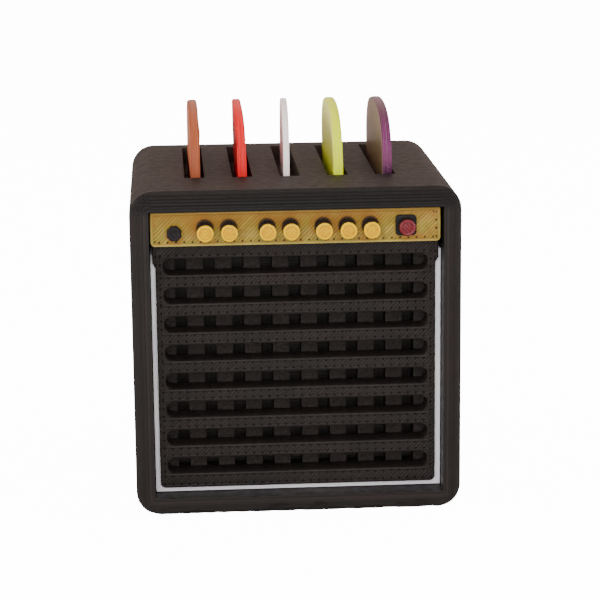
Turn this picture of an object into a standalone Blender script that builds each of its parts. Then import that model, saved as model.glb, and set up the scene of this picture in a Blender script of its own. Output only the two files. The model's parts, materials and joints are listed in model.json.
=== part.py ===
"""Guitar-pick holder shaped as a miniature combo amplifier, printed in plastic.

The cabinet is a rounded block with five pick slots in its top. Its front recess takes a U of
piping, a grille block and a control panel, and the panel carries seven knobs, a jack and a lamp.
A pick stands in each slot, tip down, and lifts straight out.

Lengths are millimetres, turned into metres by the helpers. +X is to the right, +Y runs back into
the cabinet, +Z is up, and the origin is the bottom centre of the whole object's box.
"""

import math

import bmesh
import bpy
from mathutils import Matrix, Vector

MM = 0.001
SHARP_ANGLE = math.radians(35)

# How far a cutter stands out of the solid that it cuts
CUT_MARGIN = 1.0

# Cabinet
WIDTH = 45.0
HEIGHT = 45.4
DEPTH = 44.5
SIDE_EDGE_RADIUS = 3.3
FACE_EDGE_RADIUS = 2.5

# Front recess: its half width, and its bottom and top walls
RECESS_HALF = 19.85
RECESS_LOW = 2.9
RECESS_HIGH = 42.8

# Distances behind the plane of the cabinet's front rim
PANEL_FRONT = 1.1
PANEL_BACK = 1.9
GRILLE_FRONT = 2.1
FLANGE_BACK = 2.9
TRIM_FRONT = 3.1
BAR_BACK = 5.7
GRILLE_BACK = 8.5
RECESS_FLOOR = 8.7

# The pieces in the recess sit this far off its centre, within their clearance
FRONT_SHIFT = -0.1

# White U of piping around the grille
TRIM_HALF = 19.77
TRIM_INNER_HALF = 18.95
TRIM_LOW = 2.98
TRIM_INNER_LOW = 3.98
TRIM_TOP = 36.5
TRIM_CORNER = 0.1
TRIM_INNER_CORNER = 0.3

# Grille: a header band above a narrower field of bars, with upright ribs behind the bars
HEADER_HALF = 19.4
HEADER_LOW = 35.55
HEADER_TOP = 42.55
FIELD_HALF = 19.0
FIELD_LOW = 3.84
FIELD_CORNER = 0.7
FIELD_SHOULDER = 0.7
HEADER_CORNER = 0.3
BLOCK_HALF = 18.75
BLOCK_LOW = 4.2
BLOCK_TOP = 42.0
BLOCK_CORNER = 0.5
BLOCK_OVERLAP = 0.4
SLOT_ROWS = 8
SLOT_PITCH = 4.0
SLOT_HEIGHT = 2.25
SLOT_HALF = 17.97
SLOT_LOWEST = 5.85
SLOT_CORNER = 0.9
GAP_COUNT = 9
GAP_PITCH = 3.9
GAP_WIDTH = 1.65
GAP_OVERLAP = 0.2
GAP_OVERRUN = 0.3

# Control panel and the controls' places on it
PANEL_HALF = 19.55
PANEL_LOW = 37.98
PANEL_TOP = 42.58
PANEL_CORNER = 0.6
PANEL_TOP_CORNER = 0.2
KNOB_X = (-12.33, -9.13, -3.99, -0.82, 3.57, 6.82, 9.95)
KNOB_Z = 40.15
JACK_X, JACK_Z = -16.47, 39.85
LAMP_X, LAMP_Z = 14.75, 40.3

# Controls: how far each stands out of the panel's face, and its widths
SEAT_GAP = 0.05
KNOB_RADIUS = 1.12
KNOB_BODY = 2.35
CAP_RADIUS = 1.12
CAP_THICK = 0.6
PIN_RADIUS = 0.4
PIN_LENGTH = 0.5
PIN_CLEARANCE = 0.1
SPIGOT_RADIUS = 0.6
SPIGOT_LENGTH = 2.4
SPIGOT_CLEARANCE = 0.1
SPIGOT_END_GAP = 0.3
SPIGOT_CHAMFER = 0.2
POST_CHAMFER = 0.1
CAP_CHAMFER = 0.12
JACK_CHAMFER = 0.15
LENS_CHAMFER = 0.2
JACK_RADIUS = 1.05
JACK_PROUD = 1.15
JACK_SIDES = 8
LAMP_SIDE = 2.8
LAMP_CORNER = 0.5
LAMP_BASE_PROUD = 0.55
LAMP_BOSS_PROUD = 1.9
LENS_THICK = 0.5
BOSS_OVERLAP = 0.2
CONTROL_STEPS = 24
HOLE_STEPS = 16

# Pick slots in the top
PICK_SLOTS = 5
PICK_PITCH = 6.65
PICK_SHIFT = -0.16
PICK_SLOT_WIDTH = 2.8
PICK_SLOT_FRONT = 12.3
PICK_SLOT_LENGTH = 27.0
PICK_SLOT_DEPTH = 21.95

# Picks: a rounded triangle standing on its tip
PICK_WIDTH = 26.0
PICK_HEIGHT = 30.5
PICK_SHOULDER = 8.0
PICK_PROUD = 8.75
PICK_EDGE_RADIUS = 0.12
PICK_TOP_ROUNDNESS = 0.73
PICK_TIP_ROUNDNESS = 0.26
PICK_SHOULDER_RISE = 5.5
PICK_SHOULDER_FALL = 6.5

# name, thickness, offset in the slot, lean and turn in degrees, colour
PICKS = (
    ("pick_copper", 1.30, 0.10, 0.0, 0.4, (0.52, 0.15, 0.06, 1)),
    ("pick_red", 1.25, 0.15, -1.2, -0.4, (0.83, 0.04, 0.03, 1)),
    ("pick_white", 0.84, -0.02, 0.0, -1.9, (0.72, 0.70, 0.68, 1)),
    ("pick_lime", 1.30, 0.25, -0.9, -0.4, (0.61, 0.66, 0.05, 1)),
    ("pick_purple", 1.30, 0.36, -0.5, -0.1, (0.30, 0.05, 0.26, 1)),
)

# The knob caps reach furthest forward, and the whole box is centred on the origin
FRONT_REACH = KNOB_BODY + CAP_THICK + 2 * SEAT_GAP - PANEL_FRONT
RIM_Y = FRONT_REACH - (DEPTH + FRONT_REACH) / 2


def clear_scene():
    for obj in list(bpy.data.objects):
        bpy.data.objects.remove(obj, do_unlink=True)


def new_collection(name):
    collection = bpy.data.collections.new(name)
    bpy.context.scene.collection.children.link(collection)
    return collection


def plastic(name, colour, roughness, metallic=0.0):
    material = bpy.data.materials.new(name)
    material.use_nodes = True
    shader = material.node_tree.nodes["Principled BSDF"]
    shader.inputs["Base Color"].default_value = colour
    shader.inputs["Roughness"].default_value = roughness
    shader.inputs["Metallic"].default_value = metallic
    return material


def add_object(name, data, collection, material=None):
    obj = bpy.data.objects.new(name, data)
    collection.objects.link(obj)
    if material:
        data.materials.append(material)
    return obj


def as_cutter(obj):
    obj.hide_render = True
    obj.display_type = "WIRE"
    return obj


def box_mesh(name, low, high):
    """Mesh of a box between two corners in millimetres."""
    low, high = Vector(low) * MM, Vector(high) * MM
    bm = bmesh.new()
    bmesh.ops.create_cube(bm, size=1.0)
    bmesh.ops.scale(bm, vec=high - low, verts=bm.verts)
    bmesh.ops.translate(bm, vec=(low + high) / 2, verts=bm.verts)
    mesh = bpy.data.meshes.new(name)
    bm.to_mesh(mesh)
    bm.free()
    return mesh


def cutter_box(name, low, high, collection):
    return as_cutter(add_object(name, box_mesh(name, low, high), collection))


def filleted(corners, steps=5):
    """Outline through corners given as (x, y, radius), each one rounded by its radius."""
    points = []
    for index, (x, y, radius) in enumerate(corners):
        corner = Vector((x, y))
        if radius == 0:
            points.append(corner)
            continue
        back = (Vector(corners[index - 1][:2]) - corner).normalized()
        ahead = (Vector(corners[(index + 1) % len(corners)][:2]) - corner).normalized()
        half_angle = back.angle(ahead) / 2
        centre = corner + (back + ahead).normalized() * (radius / math.sin(half_angle))
        start = corner + back * (radius / math.tan(half_angle)) - centre
        end = corner + ahead * (radius / math.tan(half_angle)) - centre
        turn = math.atan2(start.cross(end), start.dot(end))
        for step in range(steps + 1):
            points.append(centre + Matrix.Rotation(turn * step / steps, 2) @ start)
    return points


def rectangle(half_width, low, high, radius, shift=0.0):
    return (
        (shift - half_width, low, radius),
        (shift + half_width, low, radius),
        (shift + half_width, high, radius),
        (shift - half_width, high, radius),
    )


def circle(x, y, radius, steps=CONTROL_STEPS):
    turn = 2 * math.pi / steps
    return [
        Vector((x + radius * math.cos(turn * k), y + radius * math.sin(turn * k)))
        for k in range(steps)
    ]


def flat_curve(name, outlines, thickness):
    """2D curve of filled outlines, the first one solid and the rest holes in it."""
    curve = bpy.data.curves.new(name, "CURVE")
    curve.dimensions = "2D"
    curve.fill_mode = "BOTH"
    curve.extrude = thickness / 2 * MM
    for outline in outlines:
        spline = curve.splines.new("POLY")
        spline.points.add(len(outline) - 1)
        for point, place in zip(spline.points, outline):
            point.co = (place.x * MM, place.y * MM, 0, 1)
        spline.use_cyclic_u = True
    return curve


def stand_up(obj, front, back):
    """Turns a flat outline upright, so that it spans two distances behind the rim."""
    obj.rotation_euler = (math.radians(90), 0, 0)
    obj.location = (0, (RIM_Y + (front + back) / 2) * MM, 0)


def curve_to_mesh_object(obj, collection):
    """Replaces a curve object by a mesh object with its caps welded, for Booleans."""
    bpy.context.view_layer.update()
    graph = bpy.context.evaluated_depsgraph_get()
    mesh = bpy.data.meshes.new_from_object(obj.evaluated_get(graph))
    bm = bmesh.new()
    bm.from_mesh(mesh)
    bmesh.ops.remove_doubles(bm, verts=bm.verts, dist=0.000001)
    bm.to_mesh(mesh)
    bm.free()
    mesh.shade_smooth()
    mesh.set_sharp_from_angle(angle=SHARP_ANGLE)
    name, place = obj.name, obj.matrix_world.copy()
    bpy.data.objects.remove(obj, do_unlink=True)
    solid = bpy.data.objects.new(name, mesh)
    collection.objects.link(solid)
    solid.matrix_world = place
    return solid


def plate(name, outlines, front, back, collection):
    """Upright solid plate between two distances behind the rim, as a mesh."""
    obj = add_object(name, flat_curve(name, outlines, back - front), collection)
    stand_up(obj, front, back)
    return curve_to_mesh_object(obj, collection)


def boolean(obj, name, operation, other):
    modifier = obj.modifiers.new(name, "BOOLEAN")
    modifier.operation = operation
    modifier.solver = "EXACT"
    if isinstance(other, bpy.types.Collection):
        modifier.operand_type = "COLLECTION"
        modifier.collection = other
    else:
        modifier.object = other


def make_cabinet(parts, cutters, material):
    """Rounded block with the front recess and the pick slots."""
    mesh = box_mesh(
        "cabinet",
        (-WIDTH / 2, RIM_Y, 0),
        (WIDTH / 2, RIM_Y + DEPTH, HEIGHT),
    )
    bm = bmesh.new()
    bm.from_mesh(mesh)
    along_depth = [e for e in bm.edges if abs((e.verts[0].co - e.verts[1].co).y) > MM]
    bmesh.ops.bevel(
        bm, geom=along_depth, offset=SIDE_EDGE_RADIUS * MM, segments=6, profile=0.5, affect="EDGES"
    )
    bm.normal_update()
    ends = {e for f in bm.faces if abs(f.normal.y) > 0.99 for e in f.edges}
    bmesh.ops.bevel(
        bm, geom=list(ends), offset=FACE_EDGE_RADIUS * MM, segments=5, profile=0.5, affect="EDGES"
    )
    bm.to_mesh(mesh)
    bm.free()
    mesh.shade_smooth()
    mesh.set_sharp_from_angle(angle=SHARP_ANGLE)
    cabinet = add_object("cabinet", mesh, parts, material)

    recess = cutter_box(
        "recess_cutter",
        (-RECESS_HALF, RIM_Y - CUT_MARGIN, RECESS_LOW),
        (RECESS_HALF, RIM_Y + RECESS_FLOOR, RECESS_HIGH),
        cutters,
    )
    boolean(cabinet, "recess", "DIFFERENCE", recess)

    slots = new_collection("pick_slot_cutters")
    slot_front = RIM_Y + PICK_SLOT_FRONT
    for index in range(PICK_SLOTS):
        x = pick_slot_x(index)
        cutter_box(
            f"pick_slot_cutter_{index + 1}",
            (x - PICK_SLOT_WIDTH / 2, slot_front, HEIGHT - PICK_SLOT_DEPTH),
            (x + PICK_SLOT_WIDTH / 2, slot_front + PICK_SLOT_LENGTH, HEIGHT + CUT_MARGIN),
            slots,
        )
    slots.hide_render = True
    boolean(cabinet, "pick_slots", "DIFFERENCE", slots)


def pick_slot_x(index):
    return PICK_SHIFT + (index - (PICK_SLOTS - 1) / 2) * PICK_PITCH


def make_trim(parts, material):
    """U-shaped strip around the grille's sides and bottom, seated in the recess."""
    outline = filleted(
        (
            (-TRIM_HALF, TRIM_TOP, 0),
            (-TRIM_HALF, TRIM_LOW, TRIM_CORNER),
            (TRIM_HALF, TRIM_LOW, TRIM_CORNER),
            (TRIM_HALF, TRIM_TOP, 0),
            (TRIM_INNER_HALF, TRIM_TOP, 0),
            (TRIM_INNER_HALF, TRIM_INNER_LOW, TRIM_INNER_CORNER),
            (-TRIM_INNER_HALF, TRIM_INNER_LOW, TRIM_INNER_CORNER),
            (-TRIM_INNER_HALF, TRIM_TOP, 0),
        ),
        steps=3,
    )
    trim = plate("piping_trim", [outline], TRIM_FRONT, GRILLE_BACK, parts)
    trim.data.materials.append(material)


def make_grille(parts, cutters, material):
    """Header band and barred field in one piece: long slots in front, upright ribs behind."""
    shift = FRONT_SHIFT
    outline = filleted(
        (
            (shift - HEADER_HALF, HEADER_TOP, HEADER_CORNER),
            (shift - HEADER_HALF, HEADER_LOW, HEADER_CORNER),
            (shift - FIELD_HALF, HEADER_LOW - FIELD_SHOULDER, 0),
            (shift - FIELD_HALF, FIELD_LOW, FIELD_CORNER),
            (shift + FIELD_HALF, FIELD_LOW, FIELD_CORNER),
            (shift + FIELD_HALF, HEADER_LOW - FIELD_SHOULDER, 0),
            (shift + HEADER_HALF, HEADER_LOW, HEADER_CORNER),
            (shift + HEADER_HALF, HEADER_TOP, HEADER_CORNER),
        ),
    )
    grille = plate("speaker_grille", [outline], GRILLE_FRONT, FLANGE_BACK, parts)
    grille.data.materials.append(material)

    block_outline = filleted(rectangle(BLOCK_HALF, BLOCK_LOW, BLOCK_TOP, BLOCK_CORNER, shift))
    block_front = FLANGE_BACK - BLOCK_OVERLAP
    block = plate("grille_block", [block_outline], block_front, GRILLE_BACK, cutters)
    boolean(grille, "block", "UNION", as_cutter(block))

    cut_front = GRILLE_FRONT - CUT_MARGIN
    slots = new_collection("grille_slot_cutters")
    for row in range(SLOT_ROWS):
        low = SLOT_LOWEST + row * SLOT_PITCH
        outline = filleted(
            rectangle(SLOT_HALF, low, low + SLOT_HEIGHT, SLOT_CORNER, shift), steps=4
        )
        as_cutter(plate(f"grille_slot_cutter_{row + 1}", [outline], cut_front, BAR_BACK, slots))
    slots.hide_render = True
    boolean(grille, "slots", "DIFFERENCE", slots)

    gaps = new_collection("grille_gap_cutters")
    field_top = SLOT_LOWEST + (SLOT_ROWS - 1) * SLOT_PITCH + SLOT_HEIGHT
    for index in range(GAP_COUNT):
        x = shift + (index - (GAP_COUNT - 1) / 2) * GAP_PITCH
        cutter_box(
            f"grille_gap_cutter_{index + 1}",
            (x - GAP_WIDTH / 2, RIM_Y + BAR_BACK - GAP_OVERLAP, SLOT_LOWEST - GAP_OVERRUN),
            (x + GAP_WIDTH / 2, RIM_Y + GRILLE_BACK + CUT_MARGIN, field_top + GAP_OVERRUN),
            gaps,
        )
    gaps.hide_render = True
    boolean(grille, "gaps", "DIFFERENCE", gaps)

    holes = new_collection("grille_hole_cutters")
    hole_back = PANEL_FRONT + SPIGOT_LENGTH + SPIGOT_END_GAP
    for index, (x, z) in enumerate(control_places()):
        outline = circle(x, z, SPIGOT_RADIUS + SPIGOT_CLEARANCE, HOLE_STEPS)
        as_cutter(plate(f"grille_hole_cutter_{index + 1}", [outline], cut_front, hole_back, holes))
    holes.hide_render = True
    boolean(grille, "spigot_holes", "DIFFERENCE", holes)


def control_places():
    """Where each control's spigot goes through the panel, as (x, z)."""
    return [(JACK_X, JACK_Z)] + [(x, KNOB_Z) for x in KNOB_X] + [(LAMP_X, LAMP_Z)]


def make_panel(parts, material):
    """Thin gold strip across the header, with a round hole for each control's spigot."""
    shift = FRONT_SHIFT
    outline = filleted(
        (
            (shift - PANEL_HALF, PANEL_LOW, PANEL_CORNER),
            (shift + PANEL_HALF, PANEL_LOW, PANEL_CORNER),
            (shift + PANEL_HALF, PANEL_TOP, PANEL_TOP_CORNER),
            (shift - PANEL_HALF, PANEL_TOP, PANEL_TOP_CORNER),
        )
    )
    hole_radius = SPIGOT_RADIUS + SPIGOT_CLEARANCE
    holes = [circle(x, z, hole_radius, HOLE_STEPS) for x, z in control_places()]
    curve = flat_curve("control_panel", [outline] + holes, PANEL_BACK - PANEL_FRONT)
    panel = add_object("control_panel", curve, parts, material)
    stand_up(panel, PANEL_FRONT, PANEL_BACK)


def turned(name, profile, collection, material, steps=CONTROL_STEPS):
    """Solid of revolution about local Z; the profile is (radius, height) from top to bottom."""
    mesh = bpy.data.meshes.new(name)
    bm = bmesh.new()
    verts = [bm.verts.new((radius * MM, 0, height * MM)) for radius, height in profile]
    for first, second in zip(verts, verts[1:]):
        bm.edges.new((first, second))
    bm.to_mesh(mesh)
    bm.free()
    obj = add_object(name, mesh, collection, material)
    screw = obj.modifiers.new("turn", "SCREW")
    screw.steps = steps
    screw.render_steps = steps
    screw.use_merge_vertices = True
    screw.merge_threshold = 0.00001
    screw.use_smooth_shade = True
    return obj


def place_on_panel(obj, x, z, proud=0.0):
    """Stands a turned piece on the panel's face, its local Z pointing out of the front."""
    obj.rotation_euler = (math.radians(90), 0, 0)
    obj.location = (x * MM, (RIM_Y + PANEL_FRONT - proud) * MM, z * MM)


def spigot_end(radius):
    """Profile points from a control's seat, round its spigot and to the axis."""
    return [
        (radius, SEAT_GAP),
        (SPIGOT_RADIUS, SEAT_GAP),
        (SPIGOT_RADIUS, SPIGOT_CHAMFER - SPIGOT_LENGTH),
        (SPIGOT_RADIUS - SPIGOT_CHAMFER, -SPIGOT_LENGTH),
        (0, -SPIGOT_LENGTH),
    ]


def make_knobs(parts, body_material, cap_material):
    """Seven posts with a spigot behind and a gold cap pinned into the front."""
    top = SEAT_GAP + KNOB_BODY
    hole_radius = PIN_RADIUS + PIN_CLEARANCE
    hole_floor = top - PIN_LENGTH - 2 * PIN_CLEARANCE
    body_profile = [
        (0, hole_floor),
        (hole_radius, hole_floor),
        (hole_radius, top),
        (KNOB_RADIUS - POST_CHAMFER, top),
        (KNOB_RADIUS, top - POST_CHAMFER),
    ] + spigot_end(KNOB_RADIUS)
    cap_profile = [
        (0, CAP_THICK),
        (CAP_RADIUS - CAP_CHAMFER, CAP_THICK),
        (CAP_RADIUS, CAP_THICK - CAP_CHAMFER),
        (CAP_RADIUS, 0),
        (PIN_RADIUS, 0),
        (PIN_RADIUS, -PIN_LENGTH),
        (0, -PIN_LENGTH),
    ]
    for index, x in enumerate(KNOB_X):
        body = turned(f"knob_body_{index + 1}", body_profile, parts, body_material)
        place_on_panel(body, x, KNOB_Z)
        cap = turned(f"knob_cap_{index + 1}", cap_profile, parts, cap_material)
        place_on_panel(cap, x, KNOB_Z, top + SEAT_GAP)


def make_jack(parts, material):
    """Eight-sided nut of the input jack, with its spigot."""
    profile = [
        (0, JACK_PROUD),
        (JACK_RADIUS - JACK_CHAMFER, JACK_PROUD),
        (JACK_RADIUS, JACK_PROUD - JACK_CHAMFER),
    ] + spigot_end(JACK_RADIUS)
    jack = turned("input_jack", profile, parts, material, steps=JACK_SIDES)
    jack.modifiers["turn"].use_smooth_shade = False
    place_on_panel(jack, JACK_X, JACK_Z)
    jack.rotation_euler.y = math.pi / JACK_SIDES


def make_lamp(parts, cutters, base_material, lens_material):
    """Square lamp base with a round boss, and the red lens pinned into it."""
    half = LAMP_SIDE / 2
    outline = filleted(
        rectangle(half, LAMP_Z - half, LAMP_Z + half, LAMP_CORNER, LAMP_X), steps=3
    )
    base_front = PANEL_FRONT - SEAT_GAP - LAMP_BASE_PROUD
    base = plate("pilot_lamp_base", [outline], base_front, PANEL_FRONT - SEAT_GAP, parts)
    base.data.materials.append(base_material)

    top = SEAT_GAP + LAMP_BOSS_PROUD
    hole_radius = PIN_RADIUS + PIN_CLEARANCE
    hole_floor = top - PIN_LENGTH - 2 * PIN_CLEARANCE
    boss_profile = [
        (0, hole_floor),
        (hole_radius, hole_floor),
        (hole_radius, top),
        (KNOB_RADIUS - POST_CHAMFER, top),
        (KNOB_RADIUS, top - POST_CHAMFER),
        (KNOB_RADIUS, SEAT_GAP + BOSS_OVERLAP),
        (SPIGOT_RADIUS, SEAT_GAP + BOSS_OVERLAP),
        (SPIGOT_RADIUS, SPIGOT_CHAMFER - SPIGOT_LENGTH),
        (SPIGOT_RADIUS - SPIGOT_CHAMFER, -SPIGOT_LENGTH),
        (0, -SPIGOT_LENGTH),
    ]
    boss = as_cutter(turned("lamp_boss", boss_profile, cutters, base_material))
    place_on_panel(boss, LAMP_X, LAMP_Z)
    boolean(base, "boss", "UNION", boss)

    lens_profile = [
        (0, LENS_THICK),
        (CAP_RADIUS - LENS_CHAMFER, LENS_THICK),
        (CAP_RADIUS, LENS_THICK - LENS_CHAMFER),
        (CAP_RADIUS, 0),
        (PIN_RADIUS, 0),
        (PIN_RADIUS, -PIN_LENGTH),
        (0, -PIN_LENGTH),
    ]
    lens = turned("pilot_lamp_lens", lens_profile, parts, lens_material)
    place_on_panel(lens, LAMP_X, LAMP_Z, top + SEAT_GAP)


def pick_curve(name, thickness):
    """Rounded triangle in local XY, its origin where the cabinet's top cuts it."""
    curve = bpy.data.curves.new(name, "CURVE")
    curve.dimensions = "2D"
    curve.fill_mode = "BOTH"
    curve.resolution_u = 9
    curve.extrude = (thickness / 2 - PICK_EDGE_RADIUS) * MM
    curve.bevel_depth = PICK_EDGE_RADIUS * MM
    curve.bevel_resolution = 0
    curve.offset = -PICK_EDGE_RADIUS * MM
    half = PICK_WIDTH / 2
    top = PICK_PROUD
    shoulder = top - PICK_SHOULDER
    tip = top - PICK_HEIGHT
    # point, handle before it and handle after it, going clockwise from the top
    across_top = PICK_TOP_ROUNDNESS * half
    across_tip = PICK_TIP_ROUNDNESS * half
    above = shoulder + PICK_SHOULDER_RISE
    below = shoulder - PICK_SHOULDER_FALL
    knots = (
        ((0, top), (-across_top, top), (across_top, top)),
        ((half, shoulder), (half, above), (half, below)),
        ((0, tip), (across_tip, tip), (-across_tip, tip)),
        ((-half, shoulder), (-half, below), (-half, above)),
    )
    spline = curve.splines.new("BEZIER")
    spline.bezier_points.add(len(knots) - 1)
    for point, (place, before, after) in zip(spline.bezier_points, knots):
        point.co = (place[0] * MM, place[1] * MM, 0)
        point.handle_left = (before[0] * MM, before[1] * MM, 0)
        point.handle_right = (after[0] * MM, after[1] * MM, 0)
    spline.use_cyclic_u = True
    return curve


def make_picks(parts):
    """One pick standing in each slot, leaning and turned as far as the slot lets it."""
    slot_middle = RIM_Y + PICK_SLOT_FRONT + PICK_SLOT_LENGTH / 2
    for index, (name, thickness, offset, lean, turn, colour) in enumerate(PICKS):
        material = plastic(name, colour, 0.4)
        pick = add_object(name, pick_curve(name, thickness), parts, material)
        pick.rotation_euler = (math.radians(90 + lean), 0, math.radians(90 + turn))
        pick.location = ((pick_slot_x(index) + offset) * MM, slot_middle * MM, HEIGHT * MM)


def main():
    clear_scene()
    parts = new_collection("amplifier_pick_holder")
    cutters = new_collection("cutters")
    cutters.hide_render = True
    black = plastic("black_plastic", (0.022, 0.017, 0.016, 1), 0.42)
    white = plastic("white_plastic", (0.62, 0.60, 0.62, 1), 0.45)
    gold = plastic("gold_plastic", (0.36, 0.20, 0.04, 1), 0.4, 0.35)
    cap_gold = plastic("bright_gold_plastic", (0.72, 0.47, 0.08, 1), 0.35, 0.35)
    red = plastic("lamp_red", (0.35, 0.015, 0.02, 1), 0.35)
    make_cabinet(parts, cutters, black)
    make_trim(parts, white)
    make_grille(parts, cutters, black)
    make_panel(parts, gold)
    make_knobs(parts, black, cap_gold)
    make_jack(parts, black)
    make_lamp(parts, cutters, black, red)
    make_picks(parts)


main()
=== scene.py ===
"""Looks of the pick holder shaped as a miniature combo amplifier, built around its CAD frame.

Everything was printed in layers that lie parallel to the front face, except the picks, which were
printed lying flat. So the cabinet, the controls and the picks are rebuilt here as stacks of real
layers, and the flat faces get the strands, border lines and pinholes of a printed surface.
"""

import json
import math
import random

import bmesh
import bpy
import numpy as np
from mathutils import Matrix, Vector, noise

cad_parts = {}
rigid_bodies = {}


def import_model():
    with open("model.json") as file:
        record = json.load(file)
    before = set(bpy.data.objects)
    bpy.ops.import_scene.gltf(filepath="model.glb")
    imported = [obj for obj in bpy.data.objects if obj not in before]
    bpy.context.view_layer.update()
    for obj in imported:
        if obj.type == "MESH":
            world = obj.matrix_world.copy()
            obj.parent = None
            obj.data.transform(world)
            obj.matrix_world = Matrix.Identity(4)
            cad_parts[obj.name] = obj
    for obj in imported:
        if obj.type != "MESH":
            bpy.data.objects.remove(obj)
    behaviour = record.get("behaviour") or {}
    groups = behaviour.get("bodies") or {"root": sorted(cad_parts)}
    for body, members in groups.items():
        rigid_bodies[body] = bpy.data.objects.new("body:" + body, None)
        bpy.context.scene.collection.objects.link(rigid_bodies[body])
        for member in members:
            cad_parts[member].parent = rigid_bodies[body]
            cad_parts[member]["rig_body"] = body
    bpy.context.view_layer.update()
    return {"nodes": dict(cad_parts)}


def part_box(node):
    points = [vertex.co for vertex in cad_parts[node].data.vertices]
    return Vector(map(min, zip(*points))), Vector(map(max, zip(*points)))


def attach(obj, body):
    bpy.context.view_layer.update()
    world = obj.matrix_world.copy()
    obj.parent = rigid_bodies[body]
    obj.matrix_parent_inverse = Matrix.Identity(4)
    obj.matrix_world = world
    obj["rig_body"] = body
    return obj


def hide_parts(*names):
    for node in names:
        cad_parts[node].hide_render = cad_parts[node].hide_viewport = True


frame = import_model()

MM = 0.001
LAYER = 0.2 * MM
STRAND = 0.396 * MM
PINHOLE_PITCH = 2 * math.sqrt(2) * STRAND
PINHOLE_RADII = (0.08, 0.18)
SHARP_ANGLE = math.radians(50)
CUT_MARGIN = 1.0 * MM
KNOB_COUNT = 7
PICK_NODES = ("pick_copper", "pick_red", "pick_white", "pick_lime", "pick_purple")

# Outlines of a printed layer, as (share of its thickness, 1 in the groove or 0 on the crest)
LAYER_START = 0.02
STEPPED_LAYER = ((LAYER_START, 1), (0.22, 0), (0.78, 0), (1.0, 1))
FLUSH_LAYER = ((LAYER_START, 1), (0.5, 0))
ROUND_LAYER = ((0.03, 1), (0.3, 0), (0.7, 0), (0.97, 1))
DRIFT_RATES = (0.13, 0.41, 0.87)

# Cabinet, as in the CAD
SIDE_EDGE_RADIUS = 3.3 * MM
FACE_EDGE_RADIUS = 2.5 * MM
RECESS_HALF = 19.85 * MM
RECESS_LOW = 2.9 * MM
RECESS_HIGH = 42.8 * MM
RECESS_FLOOR = 8.7 * MM
PICK_SLOT = Vector((2.8, 27.0, 21.95)) * MM
PICK_SLOT_FRONT = 12.3 * MM
PICK_SLOT_SHIFT = -0.16 * MM
PICK_SLOT_PITCH = 6.65 * MM

# Cabinet's look: its smallest corner and the unevenness of its underside
LEAST_CORNER = 0.4 * MM
FOOT_BAND = 0.2 * MM
FOOT_BUMP = 0.22 * MM
FOOT_GRAIN = (1.3, 0.9)

# Grille, as in the CAD
SLOT_ROWS = 8
SLOT_PITCH = 4.0 * MM
SLOT_HEIGHT = 2.25 * MM
SLOT_HALF = 17.97 * MM
SLOT_LOWEST = 5.85 * MM
SLOT_CORNER = 0.9 * MM
BAR_DEPTH = 3.6 * MM
FLANGE_THICK = 0.8 * MM
HEADER_LOW = 35.55 * MM
HEADER_CORNER = 0.3 * MM
FIELD_HALF = 19.0 * MM
FIELD_CORNER = 0.7 * MM
FIELD_SHOULDER = 0.7 * MM
BLOCK_HALF = 18.75 * MM
BLOCK_RISE = 0.36 * MM
BLOCK_DROP = 0.55 * MM
BLOCK_CORNER = 0.5 * MM
GAP_COUNT = 9
GAP_PITCH = 3.9 * MM
GAP_WIDTH = 1.65 * MM
GAP_OVERLAP = 0.2 * MM
GAP_OVERRUN = 0.3 * MM
RIB_MARGIN = 0.3 * MM
HOLE_DEPTH = 1.7 * MM
HOLE_STEPS = 16

# Piping and panel, as in the CAD
TRIM_INNER_HALF = 18.95 * MM
TRIM_FOOT = 1.0 * MM
TRIM_CORNER = 0.1 * MM
TRIM_INNER_CORNER = 0.3 * MM
PANEL_CORNER = 0.6 * MM
PANEL_TOP_CORNER = 0.2 * MM

# Radii of the rounded front edges
GRILLE_EDGE = 0.07 * MM
PANEL_EDGE = 0.1 * MM
TRIM_EDGE = 0.12 * MM
LAMP_EDGE = 0.12 * MM

# Controls, as in the CAD
SEAT_GAP = 0.05 * MM
SPIGOT_RADIUS = 0.6 * MM
SPIGOT_CLEARANCE = 0.1 * MM
PIN_RADIUS = 0.4 * MM
JACK_SIDES = 8
LAMP_CORNER = 0.5 * MM
LAMP_BASE_PROUD = 0.55 * MM
BOSS_OVERLAP = 0.2 * MM

# Controls' faces as (radius, distance behind the front) in millimetres, from the middle outwards.
# JACK_RIM gives distances inside the jack's radius instead.
CAP_FACE = ((0, 0.05), (0.66, 0.05), (0.74, 0.08), (0.82, 0.015), (0.95, 0), (1.04, 0.02))
LENS_FACE = ((0, 0.02), (0.6, 0.03), (0.75, 0.07), (0.9, 0), (1.02, 0.03))
JACK_DISH = ((0, 0.12), (0.42, 0.10), (0.56, 0.01))
JACK_RIM = ((0.2, 0), (0.05, 0.07))

# Controls' sides: where they begin behind the face, their radii and the grooves in them
CAP_SIDE = 0.06 * MM
LENS_SIDE = 0.1 * MM
JACK_SIDE = 0.1 * MM
POST_FACE_INSET = 0.15 * MM
LAMP_RADIUS = 1.12 * MM
LAMP_FACE_RADIUS = 1.02 * MM
PIN_STUB = 0.04 * MM
GROOVE = 0.03 * MM
POST_GROOVE = 0.035 * MM

# Picks, as in the CAD
PICK_SHOULDER = 8.0 * MM
PICK_SHOULDER_RISE = 5.5 * MM
PICK_SHOULDER_FALL = 6.5 * MM
PICK_TOP_ROUNDNESS = 0.73
PICK_TIP_ROUNDNESS = 0.26

# Radius of a pick's rounded edges, as a share of its thickness
PICK_EDGE = 0.28

# Dents as (place, reach, push) in millimetres on a pick's own axes: through, across, up
COPPER_NICKS = (((0.65, -11.0, 12.0), 1.6, (0.14, 0.0, 0.0)),)
RED_NICKS = (
    ((0.0, 0.0, 26.0), 18.0, (-0.55, 0.0, 0.0)),
    ((-0.6, -12.0, 11.0), 1.4, (0.22, 0.0, 0.0)),
)

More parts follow.
